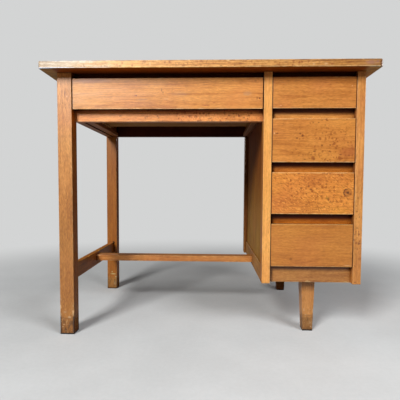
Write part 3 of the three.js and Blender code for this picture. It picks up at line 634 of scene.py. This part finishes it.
# ------------------------------------------------------------------ stains
# Stains, nicks and worn places on the fronts of the pieces, in the order they are laid on. After
# each kind come its places: x, z, half width, half height (mm), strength.
STAINS = {
    "second_drawer_front": (
        ("dark",
         (190.2, 573.2, 3.4, 1.2, 0.8), (253.4, 572.4, 2.6, 1.8, 0.6), (260.3, 566.4, 2.8, 2.2, 0.7),
         (244.9, 560.4, 2.6, 1.8, 0.7), (313.0, 540.3, 2.4, 2.2, 0.65), (335.7, 541.4, 2.2, 2.2, 0.5),
         (293.5, 524.4, 3.4, 1.8, 0.6), (334.7, 524.0, 2.8, 2, 0.5), (364.5, 515.3, 2.6, 2.2, 0.7),
         (386.7, 513.4, 2.8, 2, 0.7), (292.0, 503.1, 2.8, 1.6, 0.4), (267.5, 502.5, 2.2, 1.1, 0.6),
         (307.4, 508.6, 2, 1.7, 0.35), (383.4, 548.7, 2.3, 1.8, 0.4), (343.6, 551.4, 1.8, 1.6, 0.35),
         (314.1, 574.0, 2, 1.8, 0.4), (288.1, 603.0, 1.8, 1.6, 0.45), (303.3, 602.7, 1.8, 1.5, 0.45),
         (311.8, 608.6, 2.4, 0.9, 0.55), (326.1, 608.1, 2.2, 1, 0.5), (321.0, 595.6, 1.8, 1.6, 0.35),
         (324.4, 587.5, 1.6, 2.2, 0.3), (351.3, 533.2, 2, 1.8, 0.35), (371.8, 579.4, 2, 1.5, 0.25),
         (283.9, 515.4, 2.5, 1.3, 0.4), (250.7, 512.6, 2.3, 1.6, 0.3)),
        ("blot", (381.3, 521.0, 26, 14, 0.5), (394.6, 530.5, 10, 20, 0.3)),
        ("light", (182.8, 573.2, 1.6, 3, 0.55)),
    ),
    "third_drawer_front": (
        ("dark",
         (259.2, 423.1, 3.2, 2.4, 0.6), (285.5, 419.9, 3.6, 2.4, 0.6), (294.4, 449.4, 2.2, 2, 0.5),
         (294.7, 434.6, 2.4, 2, 0.5), (327.5, 434.4, 2.2, 2, 0.45)),
        ("ring", (386.2, 411.3, 11, 10, 0.85)),
        ("dark", (333.8, 392.6, 2.2, 3.6, 0.6), (339.7, 385.7, 1.5, 3.2, 0.4)),
        ("green", (330.0, 395.6, 4.5, 3.2, 0.5), (375.6, 425.3, 3, 2, 0.3)),
        ("yellow", (366.0, 360.0, 30, 11, 0.10)),
        ("blot", (296.2, 442.8, 40, 22, 0.25)),
        ("dark",
         (203.3, 435.6, 4, 1.6, 0.25), (278.8, 427.6, 2.4, 2, 0.4), (305.8, 439.6, 2.2, 1.6, 0.4),
         (272.9, 376.5, 3, 1.6, 0.3), (245.3, 387.4, 2, 1.6, 0.3), (364.1, 451.3, 2, 1.3, 0.3)),
    ),
    "bottom_drawer_front": (
        ("dark", (233.5, 225.3, 3.4, 3, 0.38), (324.9, 248.8, 3, 2.4, 0.15)),
        ("light", (390.4, 208.9, 10, 1.5, 0.5)),
    ),
    "top_drawer_front": (
        ("light", (391.4, 700.8, 1.6, 1.4, 0.7)),
        ("blot", (223.9, 674.2, 30, 9, 0.15)),
        ("light", (199.9, 648.6, 3, 1.4, 0.4)),
    ),
    "knee_drawer_front": (
        ("blot", (-200.7, 676.9, 4.6, 3, 0.75)),
        ("dark",
         (-198.5, 676.9, 1.7, 1.3, 0.85), (-128.1, 691.3, 1.1, 4.2, 0.5),
         (-124.3, 685.0, 1.4, 2, 0.45)),
        ("grey", (108.2, 681.4, 13, 7, 0.34)),
        ("dark", (134.6, 669.1, 1.2, 3.4, 0.6), (141.7, 668.5, 1.9, 2, 0.75)),
        ("blot", (-5.3, 650.0, 13, 2.3, 0.65), (16.7, 657.0, 5, 1.8, 0.5)),
        ("dark", (129.9, 715.5, 3, 1.5, 0.4)),
        ("mauve", (-327.7, 720.1, 70, 8, 0.35)),
        ("grey", (-77.2, 680.8, 24, 8, 0.18), (-182.7, 666.2, 16, 4, 0.2)),
        ("light", (-115.9, 667.8, 9, 2.2, 0.14), (-376.4, 645.1, 2, 3, 0.3)),
    ),
    "knee_drawer_rail": (
        ("dark",
         (-248.9, 625.7, 3.4, 2, 0.5), (-177.7, 619.7, 1.8, 3, 0.45), (5.8, 618.2, 3.4, 2, 0.5),
         (59.2, 626.2, 2.4, 2, 0.5), (73.2, 622.0, 2.4, 2.2, 0.5), (87.2, 624.7, 2.4, 2.4, 0.55),
         (101.3, 620.5, 2.4, 2, 0.5), (115.2, 626.1, 2, 2, 0.5), (-22.5, 620.8, 3, 1.6, 0.4),
         (-70.6, 623.7, 3, 1.6, 0.4)),
    ),
    "front_left_leg": (
        ("dark", (-398.1, 684.6, 2.2, 5.5, 0.4)),
        ("light",
         (-393.1, 674.9, 1.6, 3, 0.3), (-406.1, 64.9, 5, 2.2, 0.55), (-393.5, 49.9, 5.4, 3.4, 0.75),
         (-399.8, 9.5, 9, 1.3, 0.55)),
        ("black", (-418.7, 36.9, 1.8, 5, 0.8)),
        ("light", (-392.6, 27.2, 2.2, 8, 0.3)),
        ("dark", (-410.0, 35.6, 3, 9, 0.25)),
    ),
    "rear_left_leg": (
        ("white",
         (-396.4, 61.5, 12, 2.4, 0.8), (-400.9, 70.7, 3.2, 3.2, 0.55), (-385.1, 50.2, 3, 3.4, 0.45)),
        ("black", (-393.3, 192.9, 3.4, 5, 0.8)),
        ("light", (-389.5, 22.8, 6, 9, 0.4)),
    ),
    "pedestal_front_foot": (
        ("light",
         (287.0, 63.6, 1.8, 5, 0.5), (310.0, 11.1, 2.4, 2.2, 0.7), (289.8, 24.4, 3, 1.2, 0.4)),
    ),
    "pedestal_right_stile": (
        ("dark",
         (413.9, 396.7, 1.8, 3, 0.4), (419.3, 344.3, 1.8, 2.6, 0.4), (413.3, 313.8, 2.4, 2.4, 0.4),
         (419.9, 270.8, 2.6, 3.4, 0.5), (410.4, 374.6, 1.6, 2, 0.3), (417.9, 294.5, 1.8, 2, 0.35)),
    ),
    "desk_top": (
        ("light",
         (276.2, 746.9, 3.4, 3.4, 0.34), (307.9, 747.2, 5, 3, 0.34), (-169.3, 752.6, 12, 3, 0.05),
         (-153.4, 749.2, 3, 6, 0.25)),
        ("dark", (84.0, 748.9, 6, 4, 0.25)),
        ("mauve", (422.4, 750.5, 14, 6, 0.5)),
        # the dark mark at x 450.5 is painted shade on the slab's rounded right corner
        ("dark",
         (-233.4, 744.6, 4, 2.5, 0.4), (203.7, 752.0, 6, 2, 0.3), (373.8, 752.1, 8, 2, 0.3),
         (450.5, 748.0, 6, 14, 0.5)),
        ("mauve", (440.0, 752.0, 5, 4, 0.5)),
    ),
}

# ------------------------------------------------------------------ looks of the pieces
DRAWERS = ("knee_drawer", "top_drawer", "second_drawer", "third_drawer", "bottom_drawer")

# What sets a piece apart from its family; Look explains the settings.
STYLES = {
    "desk_top": dict(
        palette=TOP, ring=3.2, figure=0.55, planks=0.152, streak=1.4, mottle=1.2,
        pith=(0.03, -0.16), rough=0.46, coat=0.15, wear=1.6, scratch=0.45, bump=1.3, speck=1.4,
        dots=[(8, 0.95, 0.55, 60, 750, 620), (12, 0.9, 0.5, 200, 750, 560)],
        rims=((-0.45, 4.0), (0.45, 3.6), (0.0, 2.0)),
        # front_zones: painted highlight at the left of the front edge, painted shade towards the
        # right
        front_zones=[(-430, -190, (1.16, 2.20, 5.9), (1.36, 1.52, 1.42), 0.20),
                     (60, 170, (1, 1, 1), (0.80, 0.78, 0.80), 0.10),
                     (370, 440, (1, 1, 1), (0.74, 0.80, 1.05), 0.05)],
        # shade: painted shade on the underside, with paler, greyer painted light at its ends
        shade=[("z", "lo", (0.50, 0.27, 0.04), 412, 428, (1.04, 1.38, 1.50))]),
    "front_left_leg": dict(
        # painted shade: the inner (right) face recoloured as it looks in shade
        feet=1.15, mottle=1.3, speck=1.6, shade=[("x", "hi", (1.30, 1.04, 0.42))],
        fade=[("z", 150, 760, (0.60, 0.62, 0.62), (1.02, 1.10, 1.19))]),
    "rear_left_leg": dict(
        # tint: painted shade over the whole leg; shade: painted light on its inner (right) face; the
        # fade pales the foot
        feet=0.8, spec=0.25, coat=0.1, tint=(0.50, 0.44, 0.32),
        shade=[("x", "hi", (1.3, 1.0, 0.45))],
        fade=[("z", 30, 60, (1.65, 2.3, 3.2), (1.0, 0.96, 0.62))]),
    "pedestal_front_foot": dict(feet=1.15, tint=(0.80, 0.89, 1.08), mottle=1.4),
    "pedestal_rear_foot": dict(
        # tint: painted shade, the rear foot kept dark as in deep shadow
        feet=0.9, spec=0.15, coat=0.0, rough=0.6, tint=(0.30, 0.24, 0.16)),
    "pedestal_left_stile": dict(
        palette=PALE, mottle=1.0, figure=0.15, speck=0.8, wear=0.3, tint=(1.02, 1.09, 1.14),
        shade=[("x", "lo", (0.5, 0.4, 0.3))]),
    "pedestal_right_stile": dict(
        wear=0.5, mottle=1.5, dots=[(9, 0.9, 0.6, 418, 300, 190)], tint=(1.10, 1.24, 1.50),
        fade=[("z", 180, 420, (0.82, 0.77, 0.64), (1.0, 1.0, 1.0))]),
    "knee_drawer_rail": dict(
        palette=REDDISH, mottle=1.2,
        dots=[(7, 1.0, 0.75, 75, 620, 330), (11, 0.9, 0.62, 60, 626, 300)],
        # fade: painted shadow of the knee drawer front on the rail's top, painted light on its lower
        # part
        fade=[("z", 633, 641, (1.42, 1.48, 1.45), (0.50, 0.34, 0.20))]),
    "knee_drawer_front": dict(
        palette=FRONT, figure=0.32, ring=3.4, streak=1.6, mottle=0.9, pith=(0.10, -0.05),
        tint=(1.12, 1.18, 1.20)),
    "top_drawer_front": dict(
        palette=FRONT, streak=0.8, fibre=1.1, mottle=1.2, speck=1.2,
        # fade: painted shadow of the top's overhang along the top of the front
        fade=[("z", 694, 722, (1.02, 1.03, 1.03), (0.86, 0.80, 0.68))]),
    "second_drawer_front": dict(
        palette=FRONT, streak=0.7, mottle=1.2, tint=(1.10, 1.12, 1.06),
        dots=[(14, 0.95, 0.66, 345, 512, 110), (9, 0.8, 0.5, 335, 535, 130)],
        rims=((0.35, 3.0), (0.50, 3.0), (0.80, 3.0))),
    "third_drawer_front": dict(
        palette=FRONT, streak=0.5, figure=0.12, flecks=(-0.62, 1.25), mottle=1.6, speck=1.2,
        tint=(1.20, 1.16, 0.96),
        dots=[(10, 1.0, 0.72, 305, 440, 95), (7, 0.9, 0.6, 300, 405, 160)],
        rims=((0.5, 4.0), (0.55, 3.0), (0.80, 3.0))),
    "bottom_drawer_front": dict(
        palette=FRONT, streak=0.7, fibre=1.2, mottle=0.9, figure=0.12, speck=0.9,
        tint=(0.90, 0.89, 0.72), rims=((0.35, 2.6), (0.35, 2.6), (0.80, 2.6))),
    "pedestal_front_bottom_rail": dict(
        palette=REDDISH, streak=1.2, mottle=1.4, wear=2.2,
        # fade: painted shadow of the bottom drawer front along the rail's top
        fade=[("z", 184, 202, (0.71, 0.83, 0.80), (0.20, 0.13, 0.07))]),
    # fades on the divider rails: painted shadow of the drawer front above, painted light on the lower
    # part
    "upper_divider_rail": dict(fade=[("z", 617, 637, (1.48, 1.66, 1.75), (0.17, 0.09, 0.03))]),
    "middle_divider_rail": dict(
        spec=0.2, coat=0.0, fade=[("z", 467, 488, (1.18, 1.06, 0.70), (0.13, 0.06, 0.02))]),
    "lower_divider_rail": dict(
        spec=0.15, coat=0.0, fade=[("z", 321, 342, (1.10, 0.88, 0.45), (0.12, 0.045, 0.010))]),
    "centre_stretcher": dict(
        palette=REDDISH, streak=1.4, wear=1.5, tint=(0.84, 0.87, 0.76), mottle=1.3),
    "left_side_stretcher": dict(palette=INNER, spec=0.2, coat=0.05, tint=(1.35, 1.28, 0.50)),
    "left_side_apron": dict(
        # shade: painted shade on the inner face
        palette=INNER, spec=0.2, coat=0.05, shade=[("x", "hi", (0.42, 0.30, 0.20))]),
    "rear_apron": dict(
        palette=INNER, spec=0.2, coat=0.05,
        # shade: painted shade on the front and under faces, deep under the top
        shade=[("y", "lo", (0.16, 0.08, 0.05)), ("z", "lo", (0.3, 0.2, 0.1))]),
    # front_top_rail tint: painted shade in the gap under the top
    "front_top_rail": dict(palette=INNER, spec=0.15, coat=0.0, tint=(0.50, 0.34, 0.24)),
    "pedestal_left_panel": dict(
        spec=0.16, coat=0.0, rough=0.6,
        # fades: painted shade at the top under the knee drawer, painted grey reflection of the floor
        # at the bottom
        fade=[("z", 420, 690, (0.74, 0.73, 0.42), (0.42, 0.24, 0.06)),
              ("z", 270, 500, (1.2, 1.6, 2.5), (0.86, 0.76, 0.36))]),
    "pedestal_left_top_rail": dict(
        # tint: painted shade under the top
        palette=PANEL, spec=0.16, coat=0.0, rough=0.6, tint=(0.40, 0.26, 0.10)),
    "pedestal_left_bottom_rail": dict(
        # tint: painted grey reflection of the floor
        palette=PANEL, spec=0.16, coat=0.0, rough=0.55, tint=(0.94, 1.22, 1.65)),
    "pedestal_rear_left_post": dict(
        palette=PANEL, spec=0.16, coat=0.0, rough=0.55,
        # shade: painted shade on the front and left faces
        shade=[("y", "lo", (0.5, 0.5, 0.5)), ("x", "lo", (0.6, 0.6, 0.5))]),
}


def is_box_part(name):
    """Whether the piece is a drawer's side, back or bottom."""
    return (name.startswith(tuple(drawer + "_" for drawer in DRAWERS))
            and name.endswith(("_side", "_back", "_bottom")))


def family_settings(name):
    """What a piece shares with the others of its kind."""
    if name.endswith("_front"):
        return dict(wear_z=True, rims=((0.12, 2.5), (0.45, 2.6), (0.80, 2.6)))
    if is_box_part(name):
        settings = dict(palette=BARE, coat=0.0, rough=0.62, wear=0.4, hue=0.3)
        if name.startswith("knee"):
            # painted shade on the undersides of the knee drawer's box
            settings.update(spec=0.12, shade=[("z", "lo", (0.62, 0.48, 0.30))])
        return settings
    if name.endswith("_runner"):
        return dict(palette=INNER, coat=0.05, rough=0.5)
    if name.endswith("_panel"):
        return dict(palette=PANEL, figure=0.5, ring=3.6)
    if name.endswith("divider_rail"):
        return dict(mottle=1.4, wear=2.0)
    return {}


def grain_axis(name, low, high):
    """Grain runs upright in panels, across the desk in wide boards, else along the piece."""
    if name.endswith("_panel"):
        return "z"
    if name == "desk_top" or name.endswith("_front") or (
            is_box_part(name) and name.endswith("_bottom")):
        return "x"
    size = [end - start for start, end in zip(low, high)]
    return "xyz"[size.index(max(size))]


def round_arrises(piece, width):
    """Cleans the mesh up and bevels its sharp edges."""
    weld = piece.modifiers.new("weld", "WELD")
    weld.merge_threshold = 1e-5
    flat = piece.modifiers.new("flat", "DECIMATE")
    flat.decimate_type = "DISSOLVE"
    flat.angle_limit = math.radians(1)
    arris = piece.modifiers.new("arris", "BEVEL")
    arris.width = width
    arris.segments = 3
    arris.limit_method = "ANGLE"
    arris.angle_limit = math.radians(40)
    arris.use_clamp_overlap = True
    arris.harden_normals = True


def dress(name, seed):
    piece = nodes[name]
    low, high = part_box(name)
    pith = (0.09 * math.sin(seed * 2.3), 0.06 * math.cos(seed * 1.7) + 0.02)
    settings = {"pith": pith, **family_settings(name), **STYLES.get(name, {})}
    look = Look(seed=seed, stains=STAINS.get(name, ()), **settings)
    wood = Wood("wood_" + name, grain_axis(name, low, high), low, high, look)
    piece.data.materials.clear()
    piece.data.materials.append(wood.material)
    if name == "desk_top":
        width = 0.0022
    else:
        width = 0.0008 if name.endswith(("_leg", "_foot")) else 0.0010
    round_arrises(piece, width)


seed = 1.0
for name in sorted(nodes):
    seed += 1.37
    dress(name, seed)

# ------------------------------------------------------------------ floor and world
FLOOR_REACH = 14.0
BACKDROP = srgb(211, 212, 212)


def make_floor_material():
    """Grey floor that melts into the backdrop away from the desk."""
    material = bpy.data.materials.new("floor_mat")
    g = Graph(clear_nodes(material))
    ray = g.add("ShaderNodeLightPath").outputs
    position = g.add("ShaderNodeTexCoord").outputs["Object"]
    soft = g.noise(position, 3.0, detail=4.0, rough=0.6)
    fine = g.noise(position, 90.0, detail=4.0, rough=0.7)
    tone = g.plus(g.step(soft, 0.3, 0.7, 0.94, 1.03), g.step(fine, 0.3, 0.7, -0.02, 0.02))
    base = g.mix(1.0, srgb(198, 201, 203), g.join(tone, tone, tone), "MULTIPLY")
    # light that bounces from the floor to the wood is weaker than what the camera sees of it
    base = g.mix(ray["Is Diffuse Ray"], base, srgb(104, 98, 92))
    surface = g.fill(g.add("ShaderNodeBsdfPrincipled"), {"Base Color": base, "Roughness": 0.7})
    glow = g.fill(g.add("ShaderNodeEmission"), {0: BACKDROP})
    away = g.length(g.vector("SUBTRACT", position, (0.0, -0.3, 0.0)))
    seen = g.mul(g.step(away, 0.75, 2.2), ray["Is Camera Ray"])
    shader = g.mix_shader(seen, surface.outputs[0], glow.outputs[0])
    g.fill(g.add("ShaderNodeOutputMaterial"), {0: shader})
    return material


def make_floor():
    mesh = bpy.data.meshes.new("floor")
    corners = [(-1, -1), (1, -1), (1, 1), (-1, 1)]
    mesh.from_pydata([(x * FLOOR_REACH, y * FLOOR_REACH, 0) for x, y in corners],
                     [], [(0, 1, 2, 3)])
    floor = bpy.data.objects.new("floor", mesh)
    scene.collection.objects.link(floor)
    mesh.materials.append(make_floor_material())
    return floor


def make_world():
    """A dim dome, brightest overhead; the camera sees the plain backdrop instead."""
    world = bpy.data.worlds.new("studio")
    scene.world = world
    g = Graph(clear_nodes(world))
    height = g.split(g.add("ShaderNodeTexCoord").outputs["Generated"])[2]
    sky = g.mix(g.step(height, -0.1, 0.9), (0.55, 0.56, 0.58, 1), (1.0, 1.0, 1.0, 1))
    dome = g.fill(g.add("ShaderNodeBackground"), {"Color": sky, "Strength": 0.10})
    backdrop = g.fill(g.add("ShaderNodeBackground"), {"Color": BACKDROP, "Strength": 1.0})
    ray = g.add("ShaderNodeLightPath").outputs
    shader = g.mix_shader(ray["Is Camera Ray"], dome.outputs[0], backdrop.outputs[0])
    g.fill(g.add("ShaderNodeOutputWorld"), {0: shader})


floor = make_floor()
make_world()


# ------------------------------------------------------------------ lights
def add_area(name, location, target, size, power, color, only=()):
    """A rectangular light aimed at target; only lists the objects it lights, or all if empty."""
    light = bpy.data.lights.new(name, "AREA")
    light.shape = "RECTANGLE"
    light.size, light.size_y = size
    light.energy = power
    light.color = color
    lamp = bpy.data.objects.new(name, light)
    lamp.location = location
    aim = Vector(target) - Vector(location)
    lamp.rotation_euler = aim.to_track_quat("-Z", "Y").to_euler()
    scene.collection.objects.link(lamp)
    if only:
        receivers = bpy.data.collections.new("lit_by_" + name)
        for receiver in only:
            receivers.objects.link(receiver)
        lamp.light_linking.receiver_collection = receivers


def pick(prefixes, names):
    return [nodes[key] for key in nodes if key.startswith(prefixes) or key in names]


# from the front left
add_area("key", location=(-2.0, -4.25, 3.05), target=(0.0, -0.2, 0.42), size=(1.35, 2.0),
         power=322, color=(1.0, 0.985, 0.955))
add_area("floor_fill", location=(2.1, -2.4, 1.9), target=(0.2, -0.1, 0.0), size=(1.6, 1.2),
         power=100, color=(1.0, 1.0, 1.0), only=[floor])
# The sides away from the key get their own soft light, which leaves the floor and the knee
# space alone.
add_area("side_fill", location=(3.0, 0.5, 1.5), target=(0.42, 0.0, 0.4), size=(1.4, 1.4),
         power=52, color=(0.97, 0.98, 1.0),
         only=pick(("pedestal_right", *DRAWERS),
                   ("desk_top", "pedestal_rear_right_post", "pedestal_front_foot",
                    "pedestal_rear_foot")))
add_area("back_fill", location=(-0.8, 3.0, 1.7), target=(0.1, 0.25, 0.4), size=(1.6, 1.4),
         power=60, color=(0.97, 0.98, 1.0),
         only=pick(("pedestal_rear",),
                   ("desk_top", "pedestal_back_panel", "rear_apron", "rear_left_leg",
                    "pedestal_bottom_board", "pedestal_right_panel", "left_side_apron")))

# ------------------------------------------------------------------ camera
CAMERA_PLACE = (0.012562961, -1.346970875, 0.425394337)
LENS = 35.05963131  # focal length in mm on the sensor below
SENSOR_WIDTH = 36.0
SHIFT = (0.00544522, 0.0189133625)
# radians: yaw turns to the left, a negative pitch looks down, roll is about the view axis
YAW, PITCH, ROLL = 0.036013, -0.053238, 0.004524


def make_camera():
    camera = bpy.data.cameras.new("camera")
    holder = bpy.data.objects.new("camera", camera)
    scene.collection.objects.link(holder)
    scene.camera = holder
    camera.sensor_fit = "HORIZONTAL"
    camera.sensor_width = SENSOR_WIDTH
    camera.lens = LENS
    camera.shift_x, camera.shift_y = SHIFT
    camera.clip_start, camera.clip_end = 0.01, 100
    level_forward = Vector((-math.sin(YAW), math.cos(YAW), 0))
    level_right = Vector((math.cos(YAW), math.sin(YAW), 0))
    upright = Vector((0, 0, 1))
    forward = level_forward * math.cos(PITCH) + upright * math.sin(PITCH)
    pitched_up = -level_forward * math.sin(PITCH) + upright * math.cos(PITCH)
    right = level_right * math.cos(ROLL) + pitched_up * math.sin(ROLL)
    up = -level_right * math.sin(ROLL) + pitched_up * math.cos(ROLL)
    rows = [(right[axis], up[axis], -forward[axis], CAMERA_PLACE[axis]) for axis in range(3)]
    holder.matrix_world = Matrix((*rows, (0, 0, 0, 1)))


make_camera()
scene.view_settings.view_transform = "Standard"
scene.view_settings.look = "None"
scene.view_settings.exposure = 0.0
scene.view_settings.gamma = 1.0
